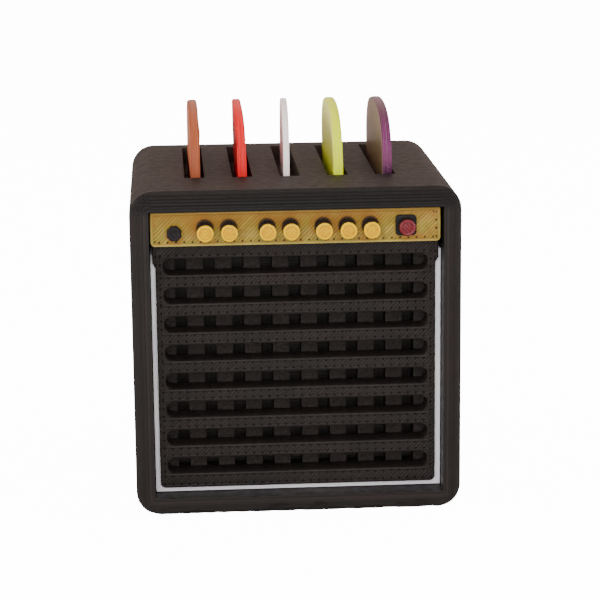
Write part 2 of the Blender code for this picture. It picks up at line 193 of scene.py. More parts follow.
# Camera, with its pitch, yaw and roll in degrees
CAMERA_PLACE = (-0.01722, -0.30909, 0.09656)
CAMERA_TURN = (12.91, 3.48, 0.62)
CAMERA_LENS = 131.5
SENSOR_WIDTH = 36
CLIP_RANGE = (0.01, 20)

# Brightness of the floor and the backdrop as the camera sees them
WHITE_GLOW = 14.0
FLOOR_SIZE = 3.0
FLOOR_DROP = 0.02 * MM

# Room light's strength in front and behind, and the depth direction where it stops growing
ROOM_STRENGTHS = (0.22, 1.30)
ROOM_TURN = 0.8

# Lamps as (name, place, size, power), all aimed at one place
LAMPS = (
    ("lamp_front", (-0.04, -0.50, 0.19), 0.4, 3.1),
    ("lamp_above", (0.05, -0.05, 0.55), 0.5, 0.7),
    ("lamp_left", (-0.55, -0.06, 0.20), 0.4, 4.2),
    ("lamp_right", (0.55, -0.02, 0.22), 0.4, 4.0),
)
LAMP_AIM = (0, 0, 0.025)

# A surface faces an axis where its normal's part along that axis is above this
FACING = 0.6

# Heights in millimetres where painted light and shade begin and end
TOP_EDGE_SHADE_HEIGHTS = (42.2, 43.2)
SLOT_LIGHT_FROM = 20.0
LIME_LIGHT_HEIGHTS = (42.0, 52.0)
PURPLE_TOP_SHADE_HEIGHTS = (51.0, 53.5)
PURPLE_FOOT_SHADE_HEIGHTS = (45.5, 47.2)

# Radii that the rings on a cap or the lens are counted from, and where they end, in millimetres
RINGS_FROM = 1.13
CAP_RINGS_TO = 0.72
LENS_RINGS_TO = 0.75

# How far above the knobs' middles the panel's painted shade round each knob and the posts' painted
# contact shadows lie, in millimetres, and a distance longer than any on the panel
KNOB_SHADE_RISE = 0.8
POST_SHADOW_RISE = 0.3
PAST_PANEL = 9.0

# Colours that more than one place needs, and those of the floor and the room's light
BLACK = (0.02, 0.016, 0.015)
FLOOR = (0.55, 0.55, 0.55)
ROOM = (1.0, 0.76, 0.67)


# Materials


class Nodes:
    """Shorthand for making a material's nodes. Lengths in these graphs are millimetres."""

    def __init__(self, name, colour, roughness, specular=0.5, metallic=0.0):
        self.material = bpy.data.materials.new(name)
        self.material.use_nodes = True
        self.tree = self.material.node_tree
        self.shader = self.tree.nodes["Principled BSDF"]
        self.shader.inputs["Base Color"].default_value = (*colour, 1)
        self.shader.inputs["Roughness"].default_value = roughness
        self.shader.inputs["Specular IOR Level"].default_value = specular
        self.shader.inputs["Metallic"].default_value = metallic
        coordinates = self.tree.nodes.new("ShaderNodeTexCoord")
        in_mm = self.tree.nodes.new("ShaderNodeVectorMath")
        in_mm.operation = "SCALE"
        in_mm.inputs["Scale"].default_value = 1 / MM
        self.link(coordinates.outputs["Object"], in_mm.inputs[0])
        self.place = in_mm.outputs[0]
        split = self.tree.nodes.new("ShaderNodeSeparateXYZ")
        self.link(self.place, split.inputs[0])
        self.x, self.y, self.z = split.outputs
        normal = self.tree.nodes.new("ShaderNodeSeparateXYZ")
        self.link(self.tree.nodes.new("ShaderNodeNewGeometry").outputs["Normal"], normal.inputs[0])
        self.normal = normal.outputs

    def link(self, output, socket):
        self.tree.links.new(output, socket)

    def set(self, socket, value):
        if isinstance(value, bpy.types.NodeSocket):
            self.link(value, socket)
        else:
            socket.default_value = value

    def math(self, operation, *values):
        node = self.tree.nodes.new("ShaderNodeMath")
        node.operation = operation
        for socket, value in zip(node.inputs, values):
            self.set(socket, value)
        return node.outputs[0]

    def add(self, a, b):
        return self.math("ADD", a, b)

    def sub(self, a, b):
        return self.math("SUBTRACT", a, b)

    def mul(self, a, b):
        return self.math("MULTIPLY", a, b)

    def low(self, a, b):
        return self.math("MINIMUM", a, b)

    def high(self, a, b):
        return self.math("MAXIMUM", a, b)

    def abs(self, a):
        return self.math("ABSOLUTE", a)

    def above(self, a, b):
        return self.math("GREATER_THAN", a, b)

    def choose(self, factor, off, on):
        """off where factor is 0 and on where it is 1."""
        node = self.tree.nodes.new("ShaderNodeMix")
        self.set(node.inputs["Factor"], factor)
        self.set(node.inputs["A"], off)
        self.set(node.inputs["B"], on)
        return node.outputs[0]

    def ramp(self, value, start, end, to_low=0.0, to_high=1.0):
        """value from start to end, spread over to_low to to_high and held past them."""
        node = self.tree.nodes.new("ShaderNodeMapRange")
        for socket, number in zip(node.inputs, (value, start, end, to_low, to_high)):
            self.set(socket, number)
        return node.outputs[0]

    def mix(self, factor, first, second):
        """Colour from first to second, by a Mix node's colour sockets."""
        node = self.tree.nodes.new("ShaderNodeMix")
        node.data_type = "RGBA"
        self.set(node.inputs[0], factor)
        for socket, colour in zip((node.inputs[6], node.inputs[7]), (first, second)):
            self.set(socket, (*colour, 1) if isinstance(colour, tuple) else colour)
        return node.outputs[2]

    def noise(self, scale, detail=3.0, roughness=0.5, stretch=None):
        """Noise with its grain in 1/mm."""
        node = self.tree.nodes.new("ShaderNodeTexNoise")
        node.inputs["Scale"].default_value = scale
        node.inputs["Detail"].default_value = detail
        node.inputs["Roughness"].default_value = roughness
        place = self.place
        if stretch:
            scaled = self.tree.nodes.new("ShaderNodeVectorMath")
            scaled.operation = "MULTIPLY"
            self.link(place, scaled.inputs[0])
            scaled.inputs[1].default_value = stretch
            place = scaled.outputs[0]
        self.link(place, node.inputs["Vector"])
        return node.outputs["Fac"]

    def hypot(self, a, b):
        return self.math("SQRT", self.add(self.mul(a, a), self.mul(b, b)))

    def aslant(self, total):
        """Place across 45-degree strands, from the sum or difference of two coordinates."""
        return self.mul(total, math.sqrt(0.5))

    def random_per_step(self, value, step, seed=0.0):
        """A different number from 0 to 1 for each step along value."""
        node = self.tree.nodes.new("ShaderNodeTexWhiteNoise")
        node.noise_dimensions = "1D"
        self.link(self.add(self.math("FLOOR", self.mul(value, 1 / step)), seed), node.inputs["W"])
        return node.outputs["Value"]

    def bead(self, value, step):
        """Rounded profile of strands side by side: 1 on each one's crest, 0 in the grooves."""
        across = self.sub(self.mul(self.math("FRACT", self.mul(value, 1 / step)), 2.0), 1.0)
        return self.sub(1.0, self.mul(across, across))

    def strands(self, value):
        return self.bead(value, STRAND / MM)

    def finish(self, height, depth_mm, colour, roughness=None):
        """Connects the shader. height runs from 0 to 1 and stands for depth_mm of relief."""
        bump = self.tree.nodes.new("ShaderNodeBump")
        bump.inputs["Distance"].default_value = depth_mm * MM
        self.link(height, bump.inputs["Height"])
        self.link(bump.outputs[0], self.shader.inputs["Normal"])
        self.link(colour, self.shader.inputs["Base Color"])
        if roughness is not None:
            self.link(roughness, self.shader.inputs["Roughness"])
        return self.material


def face_pattern(g, depth_in, along, border, hole_depth):
    """Height, pinholes and place across the strands of a face: border lines, then the strands.

    depth_in is how far a point is inside the face's outline and along is measured along that
    outline. border is the width of the border lines, and the pinholes lie hole_depth inside.
    """
    across = g.aslant(g.sub(g.x, g.z))
    height = g.choose(g.above(depth_in, border), g.strands(depth_in), g.strands(across))
    step = g.sub(g.math("FRACT", g.mul(along, MM / PINHOLE_PITCH)), 0.5)
    sideways = g.mul(step, PINHOLE_PITCH / MM)
    distance = g.hypot(sideways, g.sub(depth_in, hole_depth))
    hole = g.ramp(distance, *PINHOLE_RADII, 1.0, 0.0)
    return height, hole, across


def layer_pattern(g, coordinate, seed=0.0):
    """Height of a printed wall's layer lines, with some layers further in than others."""
    layer = LAYER / MM
    uneven = g.random_per_step(coordinate, layer, seed)
    return g.add(g.mul(g.bead(coordinate, layer), 0.6), g.mul(uneven, 0.7))


def outline_depth(g, low, high):
    """How far inside a rectangle's sides, and its top and bottom, a point is.

    low and high are its corners as (x, z) in metres.
    """
    centre_x, half_x = (low[0] + high[0]) / 2 / MM, (high[0] - low[0]) / 2 / MM
    centre_z, half_z = (low[1] + high[1]) / 2 / MM, (high[1] - low[1]) / 2 / MM
    inside_x = g.sub(half_x, g.abs(g.sub(g.x, centre_x)))
    inside_z = g.sub(half_z, g.abs(g.sub(g.z, centre_z)))
    return inside_x, inside_z


def on_front(g):
    """1 on faces that look forwards or back, 0 on the walls printed layer on layer."""
    return g.above(g.abs(g.normal[1]), FACING)


def from_middle(g, middle):
    """Distance from the middle of a round control, seen from the front."""
    return g.hypot(g.sub(g.x, middle.x / MM), g.sub(g.z, middle.z / MM))


def black_colour(g, height):
    """Near-black brown plastic, browner and paler where the strands' crests catch the light."""
    patches = g.noise(0.12, 5.0)
    base = g.mix(g.ramp(patches, 0.35, 0.65), (0.0118, 0.0104, 0.0088), (0.0180, 0.0124, 0.0114))
    return g.mix(g.mul(height, 0.30), base, (0.028, 0.022, 0.0195))


def cabinet_black(slots_from, slots_to):
    """Black plastic of the cabinet: border lines round the recess, layer lines on the walls.

    The walls inside the pick slots, which lie between the two depths, get painted light: a paler
    brown for the light that falls into the slots.
    """
    g = Nodes("cabinet_black", BLACK, 0.46, specular=0.14)
    recess = (-RECESS_HALF, RECESS_LOW), (RECESS_HALF, RECESS_HIGH)
    inside_x, inside_z = outline_depth(g, *recess)
    from_recess = g.mul(g.low(inside_x, inside_z), -1.0)
    across = g.choose(g.above(g.y, 0.0), from_recess, g.aslant(g.sub(g.x, g.z)))
    front = on_front(g)
    height = g.choose(front, layer_pattern(g, g.y), g.strands(across))
    by_layer = g.random_per_step(g.y, LAYER / MM, 17.0)
    by_line = g.random_per_step(across, STRAND / MM, 3.0)
    dull = g.mul(g.choose(front, by_layer, by_line), 0.55)
    height = g.add(height, g.mul(g.noise(9.0, 2.0), 0.25))
    rough = g.ramp(g.noise(0.9, 3.0), 0.3, 0.7, 0.40, 0.50)
    # Painted light: the side walls inside the pick slots, above a height, are painted a paler
    # brown for the light that falls into them.
    reach = PICK_SLOT_PITCH * (len(PICK_NODES) / 2) / MM
    slot_wall_light = g.mul(g.above(reach, g.abs(g.x)), g.above(g.y, slots_from))
    slot_wall_light = g.mul(slot_wall_light, g.above(slots_to, g.y))
    slot_wall_light = g.mul(slot_wall_light, g.above(g.z, SLOT_LIGHT_FROM))
    slot_wall_light = g.mul(g.sub(1.0, g.above(g.normal[2], FACING)), slot_wall_light)
    tone = g.mix(dull, black_colour(g, height), (0.0060, 0.0050, 0.0045))
    tone = g.mix(g.mul(slot_wall_light, 0.8), tone, (0.20, 0.115, 0.095))
    # Painted shade: above a height, faces that don't look up, such as the front above the recess
    # and the rounded top front edge, are darkened towards black.
    top_edge_shade = g.mul(g.ramp(g.z, *TOP_EDGE_SHADE_HEIGHTS), g.ramp(g.normal[2], 0.75, 0.95, 0.75, 0.0))
    tone = g.mix(top_edge_shade, tone, (0.0022, 0.0019, 0.0016))
    return g.finish(height, 0.016, tone, rough)


def grille_black(low, high):
    """Black plastic of the grille: slanting strands on the bars, pinholes along their edges."""
    g = Nodes("grille_black", BLACK, 0.46, specular=0.14)
    inside_x, inside_z = outline_depth(g, (low.x, low.z), (high.x, high.z))
    outline = g.low(inside_x, inside_z)
    slot_middle = (SLOT_LOWEST + SLOT_HEIGHT / 2) / MM
    pitch = SLOT_PITCH / MM
    top = slot_middle + (SLOT_ROWS - 1) * pitch
    held = g.low(g.high(g.z, slot_middle), top)
    nearest = g.mul(g.math("ROUND", g.mul(g.sub(held, slot_middle), 1 / pitch)), pitch)
    from_slot_z = g.sub(g.abs(g.sub(g.sub(g.z, slot_middle), nearest)), SLOT_HEIGHT / 2 / MM)
    centre_x = (low.x + high.x) / 2 / MM
    from_slot_x = g.sub(g.abs(g.sub(g.x, centre_x)), SLOT_HALF / MM)
    from_slot = g.high(from_slot_x, from_slot_z)
    depth_in = g.low(outline, from_slot)
    along = g.choose(g.above(from_slot_x, from_slot_z), g.x, g.z)
    face, hole, across = face_pattern(g, depth_in, along, border=0.42, hole_depth=0.42)
    front = on_front(g)
    behind = g.above(g.y, (low.y + BAR_DEPTH - RIB_MARGIN) / MM)
    rough_face = g.mul(g.noise(2.2, 4.0, 0.65), 2.6)
    face = g.choose(behind, g.sub(face, g.mul(hole, 1.5)), rough_face)
    height = g.choose(front, layer_pattern(g, g.y, 3.0), face)
    height = g.add(height, g.mul(g.noise(9.0, 2.0), 0.5))
    shade = g.mul(g.ramp(g.random_per_step(across, STRAND / MM), 0.0, 1.0, 0.3, 1.3), height)
    # Painted light: the ribs behind the bars are painted paler, in uneven patches, for the light
    # that reaches them through the slots.
    uneven = g.ramp(g.noise(1.6, 4.0, 0.7), 0.35, 0.65, 0.0, 0.34)
    colour = g.mix(g.mul(behind, uneven), black_colour(g, shade), (0.060, 0.047, 0.042))
    colour = g.mix(0.2, colour, (0.004, 0.0032, 0.0028))
    hole = g.mul(g.mul(front, hole), g.sub(0.85, behind))
    colour = g.mix(hole, colour, (0.002, 0.0015, 0.001))
    rough = g.ramp(g.noise(0.8, 3.0), 0.3, 0.7, 0.38, 0.55)
    return g.finish(height, 0.06, colour, rough)


def control_black():
    """Black plastic of the knobs' posts, the jack and the lamp's base."""
    g = Nodes("control_black", BLACK, 0.42, specular=0.12)
    strands = g.strands(g.aslant(g.add(g.x, g.z)))
    height = g.choose(on_front(g), layer_pattern(g, g.y, 5.0), strands)
    height = g.add(height, g.mul(g.noise(7.0, 2.0), 0.5))
    # Painted highlight and shade: the crests of the layers and strands are painted paler and the
    # grooves darker.
    tone = g.mix(height, (0.004, 0.003, 0.0025), (0.013, 0.0105, 0.0115))
    return g.finish(height, 0.02, tone)


def panel_gold(low, high):
    """Silky gold plastic: a bright border line, slanting strands, pinholes, tawny patches, and
    painted shade and contact shadows round the knobs.
    """
    g = Nodes("panel_gold", (0.34, 0.22, 0.035), 0.4, specular=0.25, metallic=0.08)
    inside_x, inside_z = outline_depth(g, (low.x, low.z), (high.x, high.z))
    depth_in = g.low(inside_x, inside_z)
    along = g.choose(g.above(inside_x, inside_z), g.z, g.x)
    face, hole, across = face_pattern(g, depth_in, along, border=0.4, hole_depth=0.56)
    near_bottom = g.above(low.z / MM + 1.0, g.z)
    near_right = g.above(g.x, high.x / MM - 1.0)
    hole = g.mul(hole, g.high(near_bottom, near_right))
    from_knob_shade, from_post_shadow = PAST_PANEL, PAST_PANEL
    for number in range(1, KNOB_COUNT + 1):
        post = sum(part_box(f"knob_body_{number}"), Vector()) / 2 / MM
        from_x = g.sub(g.x, post.x)
        from_knob_shade = g.low(from_knob_shade, g.hypot(from_x, g.sub(g.z, post.z + KNOB_SHADE_RISE)))
        from_post_shadow = g.low(from_post_shadow, g.hypot(from_x, g.sub(g.z, post.z + POST_SHADOW_RISE)))
    front = on_front(g)
    per_strand = g.random_per_step(across, STRAND / MM, 11.0)
    # Painted sheen on the silky strands: crests paler and grooves darker, mixed with a random tone
    # for each strand.
    strand_sheen_and_tone = g.add(g.mul(face, 0.65), g.mul(per_strand, 0.35))
    tone = g.mix(strand_sheen_and_tone, (0.080, 0.056, 0.004), (0.42, 0.280, 0.028))
    green = g.ramp(g.noise(0.5, 3.0, 0.6, stretch=(1.0, 1.0, 1.6)), 0.46, 0.60, 0.0, 0.6)
    tone = g.mix(green, tone, (0.215, 0.185, 0.016))
    patches = g.ramp(g.noise(0.42, 5.0, 0.65), 0.46, 0.60)
    tone = g.mix(g.mul(patches, 0.8), tone, (0.26, 0.115, 0.008))
    upper = g.ramp(g.z, high.z / MM - 2.4, high.z / MM - 0.3, 0.0, 0.75)
    tone = g.mix(upper, tone, (0.27, 0.130, 0.011))
    # Painted shade: a darker, more orange patch on the panel above each knob.
    tone = g.mix(g.ramp(from_knob_shade, 0.9, 2.0, 0.55, 0.0), tone, (0.25, 0.095, 0.006))
    # Painted contact shadow: a near-black rim on the panel just outside each post, widest above
    # it.
    tone = g.mix(g.ramp(from_post_shadow, 1.05, 1.3, 0.95, 0.0), tone, (0.020, 0.009, 0.002))
    border = g.mul(g.ramp(depth_in, 0.16, 0.28, 0.75, 0.0), g.sub(1.0, upper))
    tone = g.mix(border, tone, (0.46, 0.36, 0.085))
    tone = g.mix(g.mul(front, hole), tone, (0.02, 0.012, 0.003))
    height = g.choose(front, layer_pattern(g, g.y), g.sub(face, g.mul(hole, 2.0)))
    height = g.add(height, g.mul(g.noise(8.0, 2.0), 0.4))
    rough = g.ramp(g.noise(1.2, 3.0), 0.3, 0.7, 0.34, 0.5)
    return g.finish(height, 0.028, tone, rough)


def cap_gold(name, middle):
    """Brighter gold of one knob cap: two round border lines, slanting strands in the middle."""
    g = Nodes(name, (0.8, 0.43, 0.0), 0.4, specular=0.03)
    radius = from_middle(g, middle)
    strands = g.strands(g.aslant(g.sub(g.x, g.z)))
    rings = g.strands(g.sub(RINGS_FROM, radius))
    face = g.choose(g.above(radius, CAP_RINGS_TO), strands, rings)
    height = g.choose(on_front(g), layer_pattern(g, g.y), face)
    height = g.add(height, g.mul(g.noise(6.0, 2.0), 0.4))
    # Painted highlight and shade: the crests of the rings and strands are painted paler and the
    # grooves darker.
    tone = g.mix(height, (0.50, 0.245, 0.0), (0.72, 0.40, 0.0))
    tone = g.mix(g.ramp(g.noise(1.1, 3.0), 0.5, 0.7, 0.0, 0.6), tone, (0.58, 0.25, 0.0))
    tone = g.mix(g.ramp(radius, 0.88, 1.0, 0.0, 0.7), tone, (0.80, 0.49, 0.004))
    return g.finish(height, 0.03, tone)


def lens_red(middle):
    """Dark glossy red of the lens: round border lines, slanting strands in the middle."""
    g = Nodes("lens_red", (0.2, 0.02, 0.025), 0.34, specular=0.25)
    radius = from_middle(g, middle)
    strands = g.strands(g.aslant(g.add(g.x, g.z)))
    rings = g.strands(g.sub(RINGS_FROM, radius))
    height = g.choose(g.above(radius, LENS_RINGS_TO), strands, rings)
    height = g.add(height, g.mul(g.noise(5.0, 3.0), 0.8))
    # Painted highlight and shade: the lens is painted paler where its relief is high and darker in
    # the grooves.
    tone = g.mix(g.ramp(height, 0.1, 1.3), (0.040, 0.006, 0.008), (0.165, 0.014, 0.020))
    return g.finish(height, 0.04, tone)


def trim_white():
    """Cool white plastic of the piping, a little lilac and unevenly clean."""
    g = Nodes("trim_white", (0.72, 0.68, 0.74), 0.42, specular=0.45)
    height = g.choose(on_front(g), layer_pattern(g, g.y, 7.0), g.noise(5.0, 3.0))
    patches = g.noise(0.10, 3.0)
    tone = g.mix(g.ramp(patches, 0.35, 0.65), (0.86, 0.83, 0.92), (0.95, 0.93, 0.95))
    tone = g.mix(g.ramp(g.noise(1.6, 4.0), 0.58, 0.75, 0.0, 0.25), tone, (0.45, 0.42, 0.45))
    return g.finish(height, 0.02, tone)


def pick_plastic(name, first, second, roughness=0.42, metallic=0.0):
    """Plastic of a pick printed lying flat: layers across its edge, slanting strands on a face.

    Returns its nodes, its streaked colour, from first to second, and its height.
    """
    g = Nodes(name, first, roughness, specular=0.15, metallic=metallic)
    layers = layer_pattern(g, g.x, 2.0)
    strands = g.strands(g.aslant(g.add(g.y, g.z)))
    on_face = g.above(g.abs(g.normal[0]), FACING)
    height = g.choose(on_face, layers, strands)
    height = g.add(height, g.mul(g.noise(4.0, 3.0), 0.5))
    streaks = g.noise(1.0, 3.0, 0.6, stretch=(5.0, 0.12, 0.12))
    tone = g.mix(g.ramp(streaks, 0.35, 0.68), first, second)
    return g, tone, height


def on_broad_face(g):
    """1 on a pick's broad faces, 0 on its edge, with a soft change between."""
    return g.ramp(g.abs(g.normal[0]), 0.5, 0.9)


def plain_pick(name, first, second, paler=None):
    """Streaky plastic. paler, if given, is painted light: it tints the upper part of the pick's
    broad faces, where they are lit.
    """
    g, tone, height = pick_plastic(name, first, second)
    if paler:
        # Painted light: the upper part of the broad faces is tinted paler.
        upper = g.ramp(g.z, *LIME_LIGHT_HEIGHTS, 0.0, 0.8)
        tone = g.mix(g.mul(on_broad_face(g), upper), tone, paler)
    return g.finish(height, 0.03, tone)


def glitter_pick(name):
    """Purple plastic with fine glitter, brown-grey on its broad faces, with painted shade at its
    top and low down on its edges.
    """
    g, tone, height = pick_plastic(name, (0.19, 0.036, 0.125), (0.12, 0.02, 0.085), 0.34, 0.1)
    on_face = on_broad_face(g)
    patches = g.ramp(g.noise(0.25, 4.0), 0.4, 0.62)
    slanted = g.mix(patches, (0.25, 0.175, 0.108), (0.27, 0.155, 0.130))
    tone = g.mix(on_face, tone, slanted)
    flakes = g.tree.nodes.new("ShaderNodeTexVoronoi")
    flakes.inputs["Scale"].default_value = 7.0
    g.link(g.place, flakes.inputs["Vector"])
    shine = g.sub(1.0, g.ramp(flakes.outputs["Distance"], 0.12, 0.25))
    # Painted shade: the top, where the pick curves away, is darkened, less on the broad faces.
    top = g.ramp(g.z, *PURPLE_TOP_SHADE_HEIGHTS, 0.0, 0.7)
    tone = g.mix(g.mul(top, g.sub(1.0, g.mul(on_face, 0.5))), tone, (0.075, 0.030, 0.042))
    # Painted shade: the pick's edges are darkened low down; the glitter is stronger there.
    foot_shade = g.mul(g.ramp(g.z, *PURPLE_FOOT_SHADE_HEIGHTS, 1.0, 0.0), g.sub(1.0, on_face))
    tone = g.mix(g.mul(foot_shade, 0.8), tone, (0.030, 0.006, 0.030))
    tone = g.mix(g.mul(shine, g.add(0.25, g.mul(foot_shade, 0.5))), tone, (0.75, 0.42, 0.62))
    return g.finish(height, 0.03, tone)


# Shapes


def linked(name, data):
    """A new object in the scene for this data."""
    obj = bpy.data.objects.new(name, data)
    bpy.context.scene.collection.objects.link(obj)
    return obj


def paint(mesh, material):
    mesh.materials.clear()
    mesh.materials.append(material)


def add_object(name, mesh, material):
    paint(mesh, material)
    return linked(name, mesh)


def mesh_from(bm, name):
    mesh = bpy.data.meshes.new(name)
    bm.to_mesh(mesh)
    bm.free()
    return mesh


def smooth_mesh(bm, name):
    """Smooth mesh with its sharp edges kept, and its faces turned outwards."""
    bmesh.ops.recalc_face_normals(bm, faces=bm.faces)
    mesh = mesh_from(bm, name)
    mesh.shade_smooth()
    mesh.set_sharp_from_angle(angle=SHARP_ANGLE)
    return mesh


def skin_rings(name, rings):
    """Closed mesh through rings of points that all have the same count."""
    bm = bmesh.new()
    loops = [[bm.verts.new(point) for point in ring] for ring in rings]
    count = len(loops[0])
    for first, second in zip(loops, loops[1:]):
        for k in range(count):
            after = (k + 1) % count
            bm.faces.new((first[k], first[after], second[after], second[k]))
    bm.faces.new(loops[0])
    bm.faces.new(reversed(loops[-1]))
    return smooth_mesh(bm, name)


def rounded_rectangle(half_x, half_z, radius, corner_steps, side_steps):
    """Points round a rounded rectangle about the origin, with evenly divided sides.

    side_steps are for the top, left, bottom and right side.
    """
    points = []
    for quarter in range(4):
        middle_x = (half_x - radius) * (1 if quarter in (0, 3) else -1)
        middle_z = (half_z - radius) * (1 if quarter in (0, 1) else -1)
        for step in range(corner_steps + 1):
            angle = math.pi / 2 * (quarter + step / corner_steps)
            x = middle_x + radius * math.cos(angle)
            points.append(Vector((x, middle_z + radius * math.sin(angle))))
    divided = []
    for index, point in enumerate(points):
        divided.append(point)
        if index % (corner_steps + 1) == corner_steps:
            after = points[(index + 1) % len(points)]
            steps = side_steps[index // (corner_steps + 1)]
            divided += [point.lerp(after, k / steps) for k in range(1, steps)]
    return divided


def layer_offsets(count, seed, spread, drift):
    """How far in each layer lies: a little at random, plus a slow drift along the stack."""
    rng = random.Random(seed)
    waves = len(DRIFT_RATES)
    phases = [rng.uniform(0, 2 * math.pi) for _ in range(waves)]
    offsets = []
    for index in range(count):
        wave = sum(math.sin(index * rate + phase) for rate, phase in zip(DRIFT_RATES, phases))
        offsets.append(spread * rng.random() + drift * (wave + waves) / (2 * waves))
    return offsets


def stacked_layers(thickness, outline_at, edge_radius, seed, groove, spread, drift):
    """Rings of a solid printed in layers, as (depth, ring) pairs from depth 0 to thickness.

    outline_at gives the ring for an inset. Towards the rounded front and back edges the layers
    step in and get square shoulders, and the others only have a groove between them.
    """
    count = max(2, round(thickness / LAYER))
    step = thickness / count
    offsets = layer_offsets(count, seed, spread, drift)
    rings = []
    for index, offset in enumerate(offsets):
        place = (index + 0.5) * step
        reach = edge_radius - min(place, thickness - place, edge_radius)
        edge = edge_radius - math.sqrt(edge_radius**2 - reach**2)
        stepped = edge > 0 or index in (0, count - 1)
        for share, in_groove in STEPPED_LAYER if stepped else FLUSH_LAYER:
            start = 0.0 if index == 0 and share == LAYER_START else share
            ring = outline_at(edge + offset + groove * in_groove)
            rings.append(((index + start) * step, ring))
    return rings


def cabinet_shell():
    """The cabinet as a stack of layers, with its rounded edges stepped, then cut like the CAD."""
    low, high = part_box("cabinet")
    half_x = (high.x - low.x) / 2
    half_z = (high.z - low.z) / 2
    centre = (low + high) / 2
    depth = high.y - low.y

    def outline_at(inset):
        radius = max(SIDE_EDGE_RADIUS - inset, LEAST_CORNER)
        halves = half_x - inset, half_z - inset
        flat = rounded_rectangle(*halves, radius, corner_steps=9, side_steps=(6, 6, 44, 6))
        return [(centre.x + p.x, centre.z + p.y) for p in flat]

    stack = stacked_layers(
        depth, outline_at, FACE_EDGE_RADIUS, seed=4,
        groove=0.030 * MM, spread=0.025 * MM, drift=0.025 * MM,
    )
    rings = []
    for y, ring in stack:
        bottom = min(z for _, z in ring)
        points = []
        for x, z in ring:
            bump = noise.noise(Vector((x / MM * FOOT_GRAIN[0], y / MM * FOOT_GRAIN[1], 0)))
            rise = FOOT_BUMP * max(0, bump) if z < bottom + FOOT_BAND else 0
            points.append(Vector((x, low.y + y, z + rise)))
        rings.append(points)
    slots_from = (low.y + PICK_SLOT_FRONT) / MM - 0.1
    black = cabinet_black(slots_from, slots_from + PICK_SLOT.y / MM + 0.2)
    shell = add_object("cabinet_shell", skin_rings("cabinet_shell", rings), black)
    cuts = [
        (
            Vector((-RECESS_HALF, low.y - CUT_MARGIN, RECESS_LOW)),
            Vector((RECESS_HALF, low.y + RECESS_FLOOR, RECESS_HIGH)),
        )
    ]
    for index in range(len(PICK_NODES)):
        middle = PICK_SLOT_SHIFT + (index - (len(PICK_NODES) - 1) / 2) * PICK_SLOT_PITCH
        corner = Vector((middle - PICK_SLOT.x / 2, low.y + PICK_SLOT_FRONT, high.z - PICK_SLOT.z))
        cuts.append((corner, corner + PICK_SLOT + Vector((0, 0, CUT_MARGIN))))
    for corner, opposite in cuts:
        cut_box(shell, corner, opposite)
    shell.data.set_sharp_from_angle(angle=SHARP_ANGLE)
    ride_and_replace(shell, "cabinet")


def box_object(name, low, high):
    bm = bmesh.new()
    bmesh.ops.create_cube(bm, size=1.0)
    bmesh.ops.scale(bm, vec=high - low, verts=bm.verts)
    bmesh.ops.translate(bm, vec=(low + high) / 2, verts=bm.verts)
    return linked(name, mesh_from(bm, name))


def boolean(obj, other, operation):
    modifier = obj.modifiers.new(operation.lower(), "BOOLEAN")
    modifier.operation = operation
    modifier.solver = "EXACT"
    modifier.object = other


def cut_box(obj, low, high):
    cutter = box_object("cutter", low, high)
    boolean(obj, cutter, "DIFFERENCE")
    apply_modifiers(obj)
    bpy.data.objects.remove(cutter, do_unlink=True)


def evaluated_mesh(obj):
    bpy.context.view_layer.update()
    graph = bpy.context.evaluated_depsgraph_get()
    return bpy.data.meshes.new_from_object(obj.evaluated_get(graph))


def apply_modifiers(obj):
    """Replaces the object's mesh by its evaluated one and drops the modifiers."""
    mesh = evaluated_mesh(obj)
    obj.modifiers.clear()
    obj.data = mesh


def ride_and_replace(piece, node):
    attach(piece, frame["nodes"][node]["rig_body"])
    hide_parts(node)


def filleted(corners, steps=5):
    """Outline through corners given as (x, z, radius), each rounded by its radius."""
    points = []
    for index, (x, z, radius) in enumerate(corners):
        corner = Vector((x, z))
        if radius == 0:
            points.append(corner)
            continue
        back = (Vector(corners[index - 1][:2]) - corner).normalized()
        ahead = (Vector(corners[(index + 1) % len(corners)][:2]) - corner).normalized()
        half_angle = back.angle(ahead) / 2
        middle = corner + (back + ahead).normalized() * (radius / math.sin(half_angle))
        start = corner + back * (radius / math.tan(half_angle)) - middle
        end = corner + ahead * (radius / math.tan(half_angle)) - middle
        turn = math.atan2(start.cross(end), start.dot(end))
        for step in range(steps + 1):
            points.append(middle + Matrix.Rotation(turn * step / steps, 2) @ start)
    return points


def plate(name, outlines, front, back):
    """Upright solid between two depths. Its first outline is solid and the rest are holes."""
    curve = bpy.data.curves.new(name, "CURVE")
    curve.dimensions = "2D"
    curve.fill_mode = "BOTH"
    curve.extrude = (back - front) / 2
    for outline in outlines:
        spline = curve.splines.new("POLY")
        spline.points.add(len(outline) - 1)
        for point, place in zip(spline.points, outline):
            point.co = (place.x, place.y, 0, 1)
        spline.use_cyclic_u = True
    holder = linked(name, curve)
    mesh = evaluated_mesh(holder)
    bpy.data.objects.remove(holder, do_unlink=True)
    upright = Matrix.Translation((0, (front + back) / 2, 0)) @ Matrix.Rotation(math.pi / 2, 4, "X")
    mesh.transform(upright)
    bm = bmesh.new()
    bm.from_mesh(mesh)
    bmesh.ops.remove_doubles(bm, verts=bm.verts, dist=0.000001)
    bm.to_mesh(mesh)
    bm.free()
    return linked(name, mesh)


